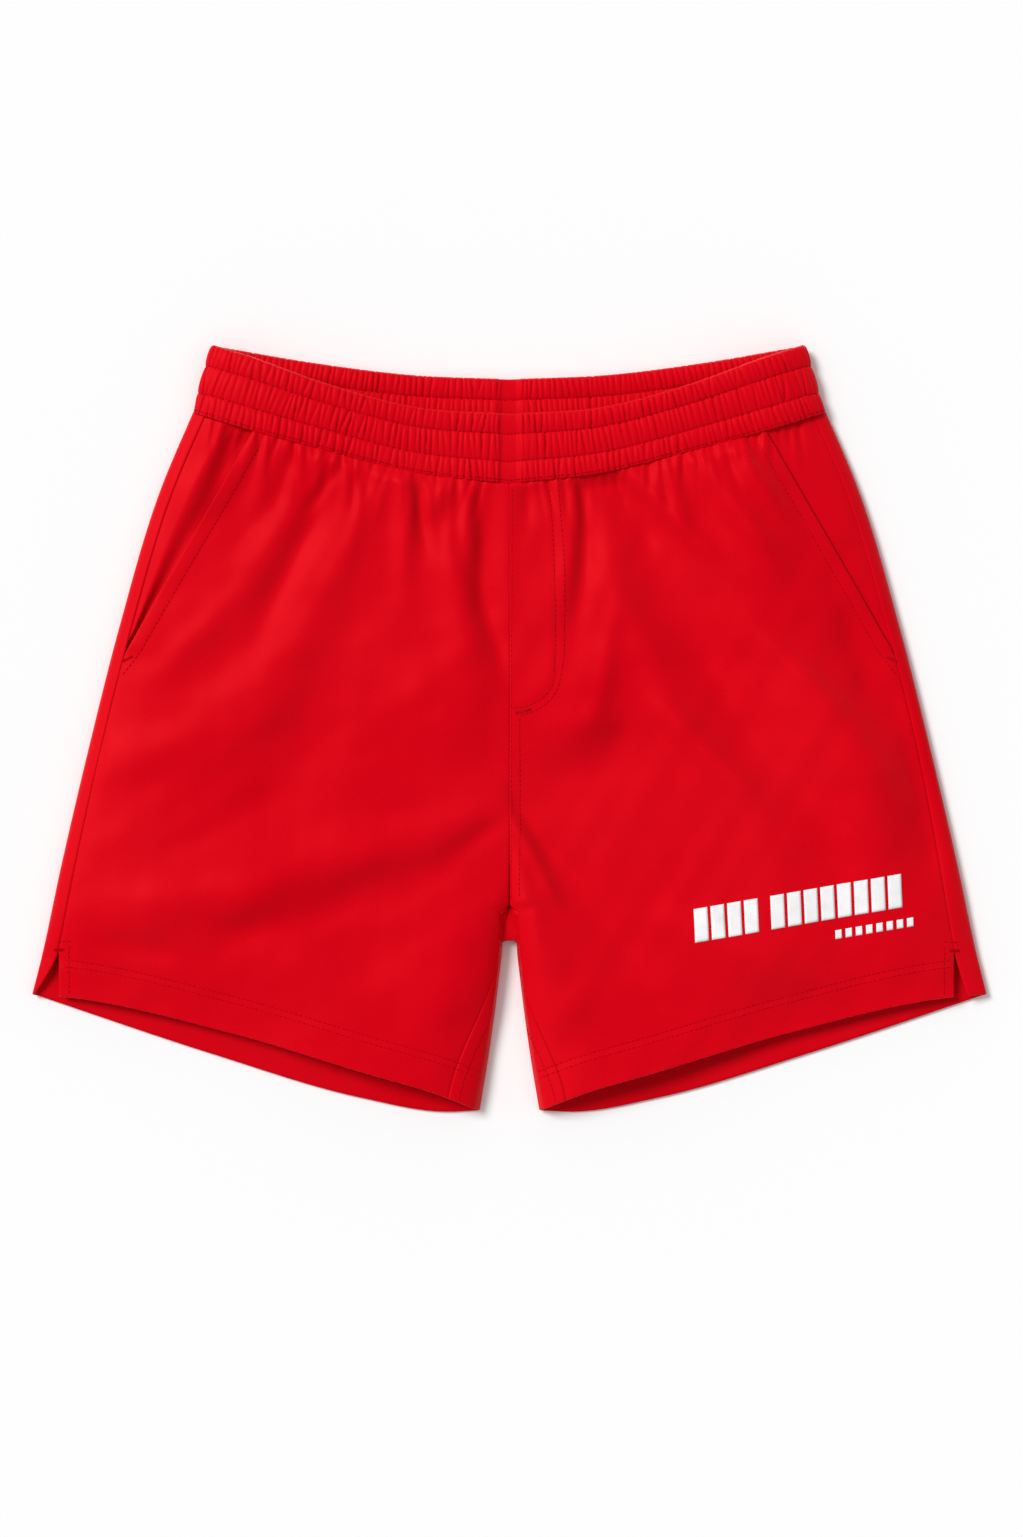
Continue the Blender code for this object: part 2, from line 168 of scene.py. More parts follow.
# straight from the side seam at the pocket row to the waistband; on the side seam below that row
def pocketMouthX(v, side):
    row = garment["pocketRow"]
    t = np.clip((v - row) / (1 - row), 0, 1)
    low = sideSeamX(np.array(row), side)
    return np.where(v <= row, frontEdgeX(v, side), low + t * (garment["pocketTopX"] - low))


# Folds of the front: start x, start y, end x, end y, height (below 0 is a hollow) and half width.
# A separate fitting script chose these strokes, strongest first, and they were rounded.
folds = {
    -1: [
        (-29, 137, -154, 201, 3.8, 21), (-199, -98, -60, -76, 3.4, 21), (-187, -27, -105, 86, 2.9, 21),
        (-65, -213, -1, -88, 2.7, 21), (-18, 1, -40, 139, 3.8, 14), (-172, -77, -90, 36, -2.3, 21),
        (-10, -19, -73, 45, 3.1, 21), (-262, -107, -122, -107, 2.9, 14), (-129, -92, 4, -48, 2.4, 14),
        (-64, -159, -128, -95, -2.2, 21), (-214, -143, -80, -99, -2.1, 14),
        (-145, 113, -189, 146, -3.3, 21), (-164, 45, -100, 170, -3, 9), (-287, -37, -154, 6, 1.9, 14),
        (-129, -116, 4, -73, -1.8, 14), (-230, 3, -116, 85, -1.5, 14), (-14, 31, -14, 171, -2.2, 9),
        (-146, -6, -64, 107, -1.3, 14), (-232, 18, -133, 117, 1.6, 9), (-133, 46, -69, 171, 1.5, 9),
        (-65, 68, -65, 208, 1.9, 6), (-181, -144, -270, -130, -1.7, 9), (-25, 87, -25, 177, 2.3, 6),
        (6, 5, -37, 138, -1.4, 6), (-250, -96, -125, -32, -0.8, 9), (-148, 127, -131, 179, -2.3, 6),
        (-49, 123, -32, 176, 2.2, 6), (-90, 136, -90, 191, -2.1, 6), (-49, 94, -63, 183, -1.5, 4),
        (-18, 61, -18, 151, -1.1, 4), (-44, -85, 1, -53, -1.1, 6), (-131, 126, -99, 170, -1.5, 4),
        (-18, -172, -4, -83, 0.7, 4), (10, -117, -8, -115, -2.3, 6),
    ],
    1: [
        (260, -124, 260, 16, -3.7, 21), (270, -31, 188, 82, -3.3, 21), (175, 53, 132, 186, 3.2, 21),
        (223, -165, 180, -32, -2.8, 21), (152, 2, 70, 116, -3.8, 14), (89, -165, 7, -52, -3.8, 14),
        (114, 78, 31, 191, -3.8, 14), (201, -168, 76, -104, 3.8, 14), (37, -191, -6, -58, 3.6, 14),
        (-17, -58, 108, 5, -2.3, 21), (210, -70, 111, 29, -3.5, 14), (256, -60, 157, 39, 2.8, 14),
        (238, -117, 217, 21, 1.5, 21), (174, 88, 92, 201, 3.4, 9), (186, 108, 103, 221, 3.4, 9),
        (169, -63, 70, 36, 3.4, 9), (41, -30, 27, 59, 2.3, 21), (174, -22, 75, 77, -2.1, 14),
        (232, -19, 133, 80, 3.2, 9), (114, -195, 61, -122, -2.1, 21), (34, 26, 56, 164, -2.6, 9),
        (38, -25, 65, 61, 2.4, 14), (-2, 42, 20, 180, -1.4, 14), (147, 84, 48, 183, 2.3, 6),
        (115, 105, 72, 238, 2.1, 6), (115, -11, 52, 114, 1.3, 9), (234, -13, 191, 121, -1.2, 9),
        (9, -183, 61, -166, 1.8, 14), (39, -97, -13, -24, -2.3, 6), (20, -176, -2, -38, 1.2, 6),
        (50, -21, 72, 117, 0.9, 6), (46, 85, 46, 175, -1.5, 4), (36, -121, -5, -41, 1.5, 4),
        (34, 59, 34, 114, 1.3, 6), (12, 109, 12, 199, -1.2, 4), (71, -3, 42, 12, 1.2, 9),
        (39, 67, 39, 157, 0.9, 4), (48, 120, 40, 174, -1, 2.6),
    ],
}
foldScale = 1.3
waistGathers = [
    {"pitch": 9.5, "height": 1.3, "width": 2.4, "reach": (22.0, 66.0), "lean": 0.16, "spread": 42.0},
    {"pitch": 6.2, "height": -1.5, "width": 1.15, "reach": (7.0, 26.0), "lean": 0.3, "spread": 22.0},
]


# smooth path through points: Catmull-Rom, evenly numbered
def smoothPath(points, count):
    p = np.array(points, float)
    p = np.vstack([2 * p[0] - p[1], p, 2 * p[-1] - p[-2]])
    t = np.linspace(0, len(p) - 3 - 1e-9, count)
    i, f = t.astype(int), (t % 1)[:, None]
    a, b, c, d = p[i], p[i + 1], p[i + 2], p[i + 3]
    return 0.5 * (2 * b + (c - a) * f + (2 * a - 5 * b + 4 * c - d) * f**2 + (3 * b - a - 3 * c + d) * f**3)


# nearest point of a path for every (x, y): signed distance (left is positive) and share of the length
def alongPath(x, y, path):
    a, b = path[:-1], path[1:]
    run = b - a
    square = np.maximum((run**2).sum(1), 1e-9)
    px, py = x[..., None] - a[:, 0], y[..., None] - a[:, 1]
    f = np.clip((px * run[:, 0] + py * run[:, 1]) / square, 0, 1)
    dx, dy = px - f * run[:, 0], py - f * run[:, 1]
    distance = np.hypot(dx, dy)
    k = distance.argmin(-1)[..., None]
    cross = np.take_along_axis(run[:, 0] * py - run[:, 1] * px, k, -1)[..., 0]
    share = (np.take_along_axis(f, k, -1)[..., 0] + k[..., 0]) / len(a)
    return np.where(cross > 0, 1, -1) * np.take_along_axis(distance, k, -1)[..., 0], share


# each fold is height * exp(-(distance / width)^2), eased in and out over 38 % of its length at either end
def foldField(x, y, strokes):
    z = np.zeros_like(x)
    for startX, startY, endX, endY, height, width in strokes:
        runX, runY = endX - startX, endY - startY
        length = np.hypot(runX, runY)
        share = ((x - startX) * runX + (y - startY) * runY) / length**2
        distance = ((y - startY) * runX - (x - startX) * runY) / length
        near = (share > 0) & (share < 1) & (np.abs(distance) < 2.8 * width)
        z[near] += (height * np.exp(-(distance[near] / width) ** 2)
                    * ease((0.5 - np.abs(share[near] - 0.5)) / 0.38))
    return z


# soft unevenness: sines of random direction, each as high as its wave is long
def unevenness(x, y, seed, waves, height):
    draw = np.random.default_rng(seed)
    z = np.zeros_like(x)
    for length in draw.uniform(*waves, 14):
        angle, phase = draw.uniform(0, np.pi * 2, 2)
        z += length / waves[1] * np.sin((x * np.cos(angle) + y * np.sin(angle)) * 2 * np.pi / length + phase)
    return z * height / 3.2


# gathers that run down from the waist seam: ridges and short creases, each widening and fading over its reach
def gatherField(x, below, seed, width):
    draw = np.random.default_rng(seed)
    z = np.zeros_like(x)
    for g in waistGathers:
        at = 8.0
        while at < width:
            at += g["pitch"] * draw.uniform(0.5, 1.55)
            reach, high = draw.uniform(*g["reach"]), g["height"] * draw.uniform(0.35, 1.15)
            lean = g["lean"] * draw.uniform(-1, 1) + 0.3 * at / width
            w = g["width"] * draw.uniform(0.8, 1.3) * (1 + below / g["spread"])
            z += high * np.exp(-((x - at - lean * below) / w) ** 2) * np.exp(-(below / reach) ** 2)
    return z


# height of one half's front at (x, row v): dome, folds, gathers, and the layers under it
def halfZ(x, v, side, y):
    outerX, _ = outerEdge(v)
    innerX, _ = innerEdge(v, "Front")
    inFromSide = ease((outerX - x) / 18.0)
    inFromLeg = np.where(v < garment["crotchRow"], 0.5 + 0.5 * ease((x - innerX) / 14.0), 1.0)
    # the folds are given in the garment's own x, so the right half is looked up at -x
    below = (1 - v) * garment["rowLength"]
    atWaist = 0.3 + 0.7 * ease(below / 9.0)
    z = foldScale * foldField(side * x, y, folds[side]) * inFromSide * inFromLeg * atWaist
    z += unevenness(x, y, 11 + side, (14.0, 50.0), 0.4) * inFromSide * inFromLeg
    z += gatherField(x, below, 31 + side, 190.0) * ease((outerX - x) / 20.0) * (0.6 + 0.4 * ease(below / 2.5))
    if side > 0:  # the fly facing lifts the cloth, and its J of stitches draws it down again
        distance, _ = alongPath(x, y, smoothPath(flyStitch["inner"], 60))
        z += 0.4 * ease(0.5 - distance / 3.0) * (y > 4) * (x > -1)
        z -= 0.22 * np.exp(-(distance / 1.3) ** 2)
    # the hem's two layers stand higher, and its rows of stitches draw it in
    hemUp = v * garment["rowLength"]
    z += 0.4 * ease((22.5 - hemUp) / 2.5) - 0.25 * np.exp(-((hemUp - 20.0) / 1.8) ** 2)
    return domeZ(x, v) + z


# the same, with both halves brought to their mean height where they meet in the centre seam: half the step
# between them, fading by exp(-x / 7), is added to the lower one and taken from the higher one
def frontZ(x, v, side, y=None):
    y = coverY(x, v) if y is None else y
    if not centreSeam:  # half the step between the halves, worked out once
        rows = np.linspace(garment["crotchRow"], 1, 300)
        right, left = [halfZ(0 * rows, rows, half, coverY(0 * rows, rows)) for half in (-1, 1)]
        centreSeam.update(rows=rows, step=(right - left) / 2)
    step = side * np.interp(v, centreSeam["rows"], centreSeam["step"]) * np.exp(-np.maximum(x, 0) / 7.0)
    return halfZ(x, v, side, y) + step * ease((v - garment["crotchRow"]) / 0.02 + 0.5)


centreSeam = {}
flyStitch = {
    "inner": [(23.5, 151), (26.3, 125), (27.9, 84), (27.9, 44), (25.5, 24.5), (14.0, 14.6), (1.0, 11.5)],
    "outer": [(29.5, 154), (31.3, 133), (33.8, 101), (33.8, 60), (33.2, 42), (28.8, 22.6), (18.9, 12.1),
              (5.9, 7.1)],
}


# positions 0 to 1 along a length, fine at the ends and coarse between
def spacing(length, coarse, fine=0.7, zone=6.0, ends=(True, True)):
    at, out = 0.0, [0.0]
    while at < length:
        near = min(at if ends[0] else length, length - at if ends[1] else length)
        at += fine + (coarse - fine) * float(ease(near / zone))
        out.append(at)
    return np.array(out) / out[-1]


# the four corners of every square of a grid of point numbers
def gridFaces(index):
    return np.stack([index[:-1, :-1], index[1:, :-1], index[1:, 1:], index[:-1, 1:]], axis=-1).reshape(-1, 4)


# a grid of points in millimetres, mirrored for the right half, as a mesh whose faces point out
def gridMesh(name, points, side):
    grid = points * mm
    if side < 0:
        grid = grid[:, ::-1] * (-1, 1, 1)
    index = np.arange(grid[..., 0].size).reshape(grid.shape[:2])
    return meshObject(name, grid.reshape(-1, 3), gridFaces(index))


# points in metres and faces of equal size, as a smooth object in the scene
def meshObject(name, vertices, faces):
    mesh = bpy.data.meshes.new(name)
    mesh.vertices.add(len(vertices))
    mesh.vertices.foreach_set("co", vertices.astype(np.float32).ravel())
    size = faces.shape[1]
    mesh.loops.add(faces.size)
    mesh.loops.foreach_set("vertex_index", faces.astype(np.int32).ravel())
    mesh.polygons.add(len(faces))
    mesh.polygons.foreach_set("loop_start", np.arange(0, faces.size, size, dtype=np.int32))
    mesh.update(calc_edges=True)
    mesh.validate()
    mesh.shade_smooth()
    piece = bpy.data.objects.new(name, mesh)
    bpy.context.scene.collection.objects.link(piece)
    return piece


# cloth thickness, added inwards
def thicken(piece, thickness):
    wall = piece.modifiers.new("clothThickness", "SOLIDIFY")
    wall.thickness, wall.offset = thickness * mm, -1.0


# side: name in a piece, name in a node, body
halves = {1: ("Left", "left", "left_half"), -1: ("Right", "right", "right_half")}


# sRGB hex to linear: c / 12.92 up to 0.04045, ((c + 0.055) / 1.055) ^ 2.4 above
def hexColor(text):
    part = np.array([int(text[i:i + 2], 16) for i in (1, 3, 5)]) / 255
    return (*np.where(part <= 0.04045, part / 12.92, ((part + 0.055) / 1.055) ** 2.4), 1.0)


# adds a node, sets its properties and sockets, and links sockets given as (node, output)
def addNode(tree, kind, settings=None, **inputs):
    node = tree.nodes.new("ShaderNode" + kind)
    for key, value in (settings or {}).items():
        setattr(node, key, value)
    for key, value in inputs.items():
        numbered = key[0] == "i" and key[1:].isdigit()
        socket = node.inputs[int(key[1:]) if numbered else key.replace("_", " ")]
        if isinstance(value, tuple) and isinstance(value[0], bpy.types.Node):
            tree.links.new(value[0].outputs[value[1]], socket)
        else:
            socket.default_value = value
    return node


# a new material: itself, its tree, its shader and its coordinates
def newMaterial(name):
    material = bpy.data.materials.new(name)
    material.use_nodes = True
    tree = material.node_tree
    return material, tree, tree.nodes["Principled BSDF"], addNode(tree, "TexCoord")


# sets shader sockets that are the same all over
def setSockets(shader, values):
    for name, value in values.items():
        shader.inputs[name].default_value = value


# one woven cloth: two crossing sets of threads as bump, slubs in the colour, and soft crumpling
def wovenCloth(name, look):
    material, tree, shader, place = newMaterial(name)
    turned = addNode(tree, "Mapping", Vector=(place, "Object"), Rotation=(0, 0, look["grain"]))
    pitch = 2 * np.pi / (look["threads"] * mm * 20)  # a wave's scale is 20 bands to 2 pi metres
    warp = addNode(tree, "TexWave", {"bands_direction": "X"}, Vector=(turned, "Vector"), Scale=pitch,
                   Distortion=1.2, Detail=1.0, Detail_Scale=2.0)
    weft = addNode(tree, "TexWave", {"bands_direction": "Y"}, Vector=(turned, "Vector"), Scale=pitch,
                   Distortion=1.2, Detail=1.0, Detail_Scale=2.0)
    weave = addNode(tree, "Math", {"operation": "MAXIMUM"}, i0=(warp, "Fac"), i1=(weft, "Fac"))
    streak = addNode(tree, "Mapping", Vector=(turned, "Vector"), Scale=(420, 1100, 700))
    slub = addNode(tree, "TexNoise", Vector=(streak, "Vector"), Scale=1.0, Detail=3.0, Roughness=0.6)
    crumple = addNode(tree, "TexNoise", Vector=(place, "Object"), Scale=look["crumple"], Detail=4.0,
                      Roughness=0.5)
    shade = addNode(tree, "TexNoise", Vector=(place, "Object"), Scale=9.0, Detail=2.0)
    mixed = addNode(tree, "Math", {"operation": "MULTIPLY_ADD"}, i0=(slub, "Fac"), i1=0.35,
                    i2=(shade, "Fac"))
    ramp = addNode(tree, "ValToRGB", Fac=(mixed, "Value"))
    ramp.color_ramp.elements[0].position, ramp.color_ramp.elements[1].position = 0.45, 0.95
    ramp.color_ramp.elements[0].color, ramp.color_ramp.elements[1].color = map(hexColor, look["colors"])
    tree.links.new(ramp.outputs["Color"], shader.inputs["Base Color"])
    rough = addNode(tree, "MapRange", Value=(slub, "Fac"), To_Min=look["roughness"] - 0.05,
                    To_Max=look["roughness"] + 0.07)
    tree.links.new(rough.outputs["Result"], shader.inputs["Roughness"])
    big = addNode(tree, "Bump", Strength=look["crumpleStrength"], Distance=look["crumpleDepth"] * mm,
                  Height=(crumple, "Fac"))
    fine = addNode(tree, "Bump", Strength=look["weaveStrength"], Distance=0.12 * mm,
                   Height=(weave, "Value"), Normal=(big, "Normal"))
    grain = addNode(tree, "Bump", Strength=0.25, Distance=0.1 * mm, Height=(slub, "Fac"),
                    Normal=(fine, "Normal"))
    tree.links.new(grain.outputs["Normal"], shader.inputs["Normal"])
    setSockets(shader, {
        "Specular IOR Level": look["specular"], "Specular Tint": hexColor(look["specularTint"]), "IOR": 1.5,
        "Sheen Weight": look["sheen"], "Sheen Roughness": 0.45, "Sheen Tint": hexColor(look["sheenTint"])})
    return material


# Real threads are 0.2 mm apart, too fine to show, so they are drawn 1.3 mm apart.
# woven polyester, satin-faced: smooth, so folds carry a soft wide highlight
wovenPolyester = wovenCloth("wovenPolyester", {
    "colors": ("#D40013", "#DC0718"), "grain": 0.0, "threads": 1.3, "weaveStrength": 0.22, "crumple": 42.0,
    "crumpleStrength": 0.5, "crumpleDepth": 0.45, "roughness": 0.45, "specular": 0.25,
    "specularTint": "#FF4A50", "sheen": 0.0, "sheenTint": "#FF2030"})
# woven polyester pocket lining: matt and slightly duller
pocketLining = wovenCloth("wovenPolyesterLining", {
    "colors": ("#B80A18", "#C61222"), "grain": 0.02, "threads": 1.1, "weaveStrength": 0.5, "crumple": 60.0,
    "crumpleStrength": 0.4, "crumpleDepth": 0.5, "roughness": 0.75, "specular": 0.2,
    "specularTint": "#FF7A80", "sheen": 0.1, "sheenTint": "#FF9AA0"})
# knitted elastic: ribbed along its length, off-white
knittedElastic = wovenCloth("knittedElastic", {
    "colors": ("#E4E2DC", "#F2F0EA"), "grain": 0.0, "threads": 1.6, "weaveStrength": 0.9, "crumple": 30.0,
    "crumpleStrength": 0.1, "crumpleDepth": 0.2, "roughness": 0.85, "specular": 0.2,
    "specularTint": "#FFFFFF", "sheen": 0.2, "sheenTint": "#FFFFFF"})


# a small plain surface: two close colours in soft patches, and one set of fine bands as bump
def bandedSurface(name, look):
    material, tree, shader, place = newMaterial(name)
    bands = addNode(tree, "TexWave", {"bands_direction": look["bands"]}, Vector=(place, "Object"),
                    Scale=look["bandScale"], Distortion=look["distortion"])
    patch = addNode(tree, "TexNoise", Vector=(place, "Object"), Scale=look["patch"], Detail=look["detail"])
    ramp = addNode(tree, "ValToRGB", Fac=(patch, "Fac"))
    ramp.color_ramp.elements[0].position, ramp.color_ramp.elements[1].position = look["stops"]
    ramp.color_ramp.elements[0].color, ramp.color_ramp.elements[1].color = map(hexColor, look["colors"])
    tree.links.new(ramp.outputs["Color"], shader.inputs["Base Color"])
    bump = addNode(tree, "Bump", Strength=look["relief"], Distance=0.1 * mm, Height=(bands, "Fac"))
    tree.links.new(bump.outputs["Normal"], shader.inputs["Normal"])
    setSockets(shader, look["sockets"])
    return material


# spun polyester thread: its twist shows as bands across each stitch, and it is a little matter than the cloth
twistedThread = {
    "bands": "DIAGONAL", "bandScale": 700.0, "distortion": 1.5, "patch": 260.0, "detail": 2.0,
    "stops": (0.35, 0.65), "relief": 0.6, "colors": ("#B40414", "#D00C1C"),
    "sockets": {"Roughness": 0.65, "Specular IOR Level": 0.15, "Specular Tint": hexColor("#FF4A50")}}
polyesterThread = bandedSurface("spunPolyesterThread", twistedThread)
# the same thread in darker colours: painted shade for where it is pulled deep into the gathers, so its rows
# read as dark dots
shadedThread = bandedSurface("spunPolyesterThreadSunken", {**twistedThread, "colors": ("#860210", "#A80312")})
# plastisol transfer: a thin white film that takes a little of the weave, with faint wear
transferFilm = bandedSurface("plastisolTransferFilm", {
    "bands": "X", "bandScale": 240.0, "distortion": 1.0, "patch": 120.0, "detail": 4.0, "stops": (0.3, 0.62),
    "relief": 0.15, "colors": ("#F1EFEF", "#FBFAFA"), "sockets": {"Roughness": 0.55}})


# gives a piece its material, slot, body and CAD nodes; pieces near the middle are baked in place and get no
# body
def dress(piece, material, side, nodes=(), middle=False):
    piece.data.materials.append(material)
    if middle:
        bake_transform(piece)
    else:
        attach(piece, halves[side][2])
    if nodes:
        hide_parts(*nodes)
    return piece


panels = {
    "thickness": 0.42, "coarse": 2.05, "fine": 0.75, "hemDepth": 22.0, "hemGap": 1.05,
    "seamDip": 0.32, "seamWidth": 0.9, "sideRound": 3.4, "underside": 1.15,
    "pocketStitch": 8.0, "mouthStand": {1: 0.4, -1: 1.3},
    "frontFlat": (0.31, 0.44), "frontArea": 0.098, "backFlat": (0.40, 0.46), "backArea": 0.136,
}


# unit normals of a grid, along (row step) x (column step)
def gridNormals(points):
    across = np.gradient(points, axis=1)
    up = np.gradient(points, axis=0)
    normal = np.cross(up, across)
    return normal / np.maximum(np.linalg.norm(normal, axis=2, keepdims=True), 1e-9)


# a turned-up hem: the first rows again on the inner side, and a round edge where the cloth turns
def withHem(points, rows, inwards):
    inner = gridNormals(points) * inwards
    out = points[0] - points[1]
    out = out / np.linalg.norm(out, axis=1, keepdims=True)
    gap = panels["hemGap"]
    turned = points[rows:0:-1] + inner[rows:0:-1] * gap
    edge = [points[0] + inner[0] * gap * share + out * bulge
            for share, bulge in ((0.9, 0.2), (0.5, 0.42), (0.1, 0.2))]
    return np.concatenate([turned[::2], np.array(edge), points])


# rows of the panels: fine over the hem and next to the waist seam
def panelRows():
    hem = np.arange(0, panels["hemDepth"] + 2, 1.0)
    rest = hem[-1] + spacing(garment["rowLength"] - hem[-1], 1.9, 0.8, 12.0, (False, True)) * (
        garment["rowLength"] - hem[-1])
    return np.concatenate([hem, rest[1:]]) / garment["rowLength"], len(hem)


# drop of the cloth into a seam, exp(-distance / width)
def seamDip(distance):
    return panels["seamDip"] * np.exp(-np.maximum(distance, 0) / panels["seamWidth"])


# the folded edge of the pocket mouth: thicker up to its stitches, drawn in along them, and standing off
def mouthLift(toEdge, side):
    stitch = panels["pocketStitch"]
    return (0.35 * ease((stitch + 1.5 - toEdge) / 2.0) - 0.25 * np.exp(-((toEdge - stitch) / 1.2) ** 2)
            + panels["mouthStand"][side] * np.exp(-toEdge / 9.0))


# Front panel: the front cover between inseam and pocket mouth, dipped at its seams, with its hem turned up
def makeFrontPanel(side):
    word, node, _ = halves[side]
    rows, hemRows = panelRows()
    start = inseamX(rows, side)
    end = pocketMouthX(rows, side)
    share = spacing(float((end - start).max()), panels["coarse"], panels["fine"], 7.0)
    v = np.repeat(rows[:, None], len(share), 1)
    x = start[:, None] + (end - start)[:, None] * share
    y = coverY(x, v)
    z = frontZ(x, v, side, y) - seamDip(x - start[:, None]) * np.where(v < garment["crotchRow"], 1.0, 0.55)
    toEdge = end[:, None] - x
    onPocket = ease((v - garment["pocketRow"]) / 0.02)
    inSlit = ease((garment["slitRow"] - v) / 0.01)
    z -= seamDip(toEdge) * (1 - onPocket) * (1 - inSlit) + 0.35 * np.exp(-toEdge / 0.9) * (onPocket + inSlit)
    z += onPocket * mouthLift(toEdge, side)
    z -= 0.8 * ease((rows[:, None] - 0.9955) / 0.0045)
    points = withHem(np.stack([x, y, z], axis=2), hemRows, 1.0)
    piece = gridMesh(f"frontPanel{word}", points[::-1], side)
    thicken(piece, panels["thickness"])
    dress(piece, wovenPolyester, side, [f"front_panel_{node}"], middle=True)


# height of the underside above the table: level, with slow waves and gathers that only lift it
def backZ(x, y, v, side):
    below = (1 - v) * garment["rowLength"]
    wave = unevenness(x, y, 51 + side, (40.0, 120.0), 0.9) + 0.6 * gatherField(x, below, 61 + side, 190.0)
    hemUp = v * garment["rowLength"]
    return (panels["underside"] + np.maximum(wave, -0.4) * ease(hemUp / 30.0) * ease(x / 20.0)
            + 0.3 * np.exp(-((hemUp - 20.0) / 2.0) ** 2))


# Back panel: from the inseam over the inner leg's edge, along the table, up the side to the side seam.
# Above the crotch its first columns lie in one point of the centre seam and are merged there.
def makeBackPanel(side):
    word, node, _ = halves[side]
    rows, hemRows = panelRows()
    v = rows[:, None]
    innerX, innerY = innerEdge(rows, "Front")
    backX, backY = innerEdge(rows, "Back")
    outerX, outerY = outerEdge(rows)
    legRow = rows < garment["crotchRow"]

    lipX = innerX[:, None] + (inseamX(rows, side) - innerX)[:, None] * np.linspace(1, 0, 12)
    lipY = coverY(lipX, v)
    lip = np.stack([lipX, lipY, frontZ(lipX, v + 0 * lipX, side, lipY) - seamDip(
        inseamX(rows, side)[:, None] - lipX)], axis=2)
    turn = np.linspace(0, 1, 9)[None, 1:]
    high, low = lip[:, -1, 2][:, None], backZ(backX[:, None] + 0.01, backY[:, None], v, side)
    bow = 1.1 * np.sin(np.pi * turn)
    wallX = lip[:, -1, 0][:, None] * (1 - turn) + backX[:, None] * turn
    wallX = wallX - bow * np.minimum(backX / 4, 1)[:, None]
    wallY = innerY[:, None] * (1 - turn) + backY[:, None] * turn - bow * ease((v - 0.26) / 0.08)
    wall = np.stack([wallX, wallY, high * (1 - turn) + low * turn], axis=2)
    seam = np.stack([0 * backX, backY, low[:, 0]], axis=1)[:, None]
    lip, wall = np.where(legRow[:, None, None], lip, seam), np.where(legRow[:, None, None], wall, seam)

    bend = panels["sideRound"]
    reach = outerX - bend - backX
    share = spacing(float(reach.max()), 2.4, 0.9, 7.0)[1:]
    floorX = backX[:, None] + reach[:, None] * share
    floorY = coverY(floorX, v, "Back")
    floorZ = backZ(floorX, floorY, v, side) + np.where(legRow[:, None], 0, seamDip(floorX))
    flat = np.stack([floorX, floorY, floorZ], axis=2)

    angle = np.linspace(0, np.pi / 2, 8)[1:]
    sideX = (outerX - bend)[:, None] + bend * np.sin(angle)
    sideZ = flat[:, -1, 2][:, None] + (garment["edgeHeight"] - flat[:, -1, 2][:, None]) * (1 - np.cos(angle))
    up = np.stack([sideX, np.repeat(outerY[:, None], 7, 1), sideZ], axis=2)
    up[..., 1] += (floorY[:, -1:] - outerY[:, None]) * np.linspace(1, 0, 8)[1:]
    opening = garment["slitOpening"][side] * np.clip(1 - rows / garment["slitRow"], 0, 1) ** 1.4
    lipEnd = np.minimum(sideSeamX(rows, side) + opening, outerX - 0.6)
    overX = outerX[:, None] - (outerX - lipEnd)[:, None] * (1 - np.cos(np.linspace(0, np.pi / 2, 12)[1:]))
    overY = coverY(overX, v)
    overZ = frontZ(overX, v + 0 * overX, side, overY)
    overZ -= seamDip(overX - lipEnd[:, None]) * ease((v - garment["slitRow"] + 0.004) / 0.008)
    over = np.stack([overX, overY, overZ], axis=2)

    points = withHem(np.concatenate([lip, wall, flat, up, over], axis=1), hemRows, -1.0)
    piece = gridMesh(f"backPanel{word}", points, side)
    mergeDoubles(piece)
    thicken(piece, panels["thickness"])
    dress(piece, wovenPolyester, side, [f"back_panel_{node}"], middle=True)


crotch = {"top": -106.0, "bottom": -131.2, "halfWidth": 7.0, "height": 9.3, "seam": -112.6,
          "flat": (0.014, 0.030)}


# The lower end of the back rise: a small arched piece between the legs, lower to the sides by 0.012 x^2,
# with a ridge where the seam crosses it, and turned down at its lower edge.
def makeCrotch():
    turned = crotch["bottom"] - np.array([0.7, 1.1, 1.2])
    y = np.concatenate([np.linspace(crotch["top"], crotch["bottom"], 22), turned])[:, None]
    x = np.linspace(-crotch["halfWidth"], crotch["halfWidth"], 15)[None] + 0 * y
    drop = np.array([0.0] * 21 + [0.15, 0.9, 2.4, 4.6])[:, None]
    ridge = 0.45 * np.exp(-((y - crotch["seam"]) / 0.8) ** 2)
    z = crotch["height"] + 0.06 * (y + 112) - drop - 0.012 * x**2 + ridge
    z += unevenness(x, y, 5, (6.0, 14.0), 0.25)
    piece = gridMesh("backRiseEnd", np.stack([x, y + 0 * x, z], axis=2), 1)
    thicken(piece, panels["thickness"])
    dress(piece, wovenPolyester, 1, middle=True)


# joins points less than 0.02 mm apart
def mergeDoubles(piece):
    grid = bmesh.new()
    grid.from_mesh(piece.data)
    bmesh.ops.remove_doubles(grid, verts=grid.verts, dist=0.02 * mm)
    grid.to_mesh(piece.data)
    grid.free()
    piece.data.shade_smooth()


pocket = {
    "overlap": 24.0, "mouthDrop": {1: 1.5, -1: 4.2}, "hiddenDrop": 3.6, "flat": (0.12, 0.19), "area": 0.0092,
    "bagRow": 0.36, "bagInner": 96.0, "bagDrop": 2.4, "bagGap": 4.6, "bagCloth": 0.25,
    "bagFlat": (0.27, 0.27), "bagArea": 0.056,
}


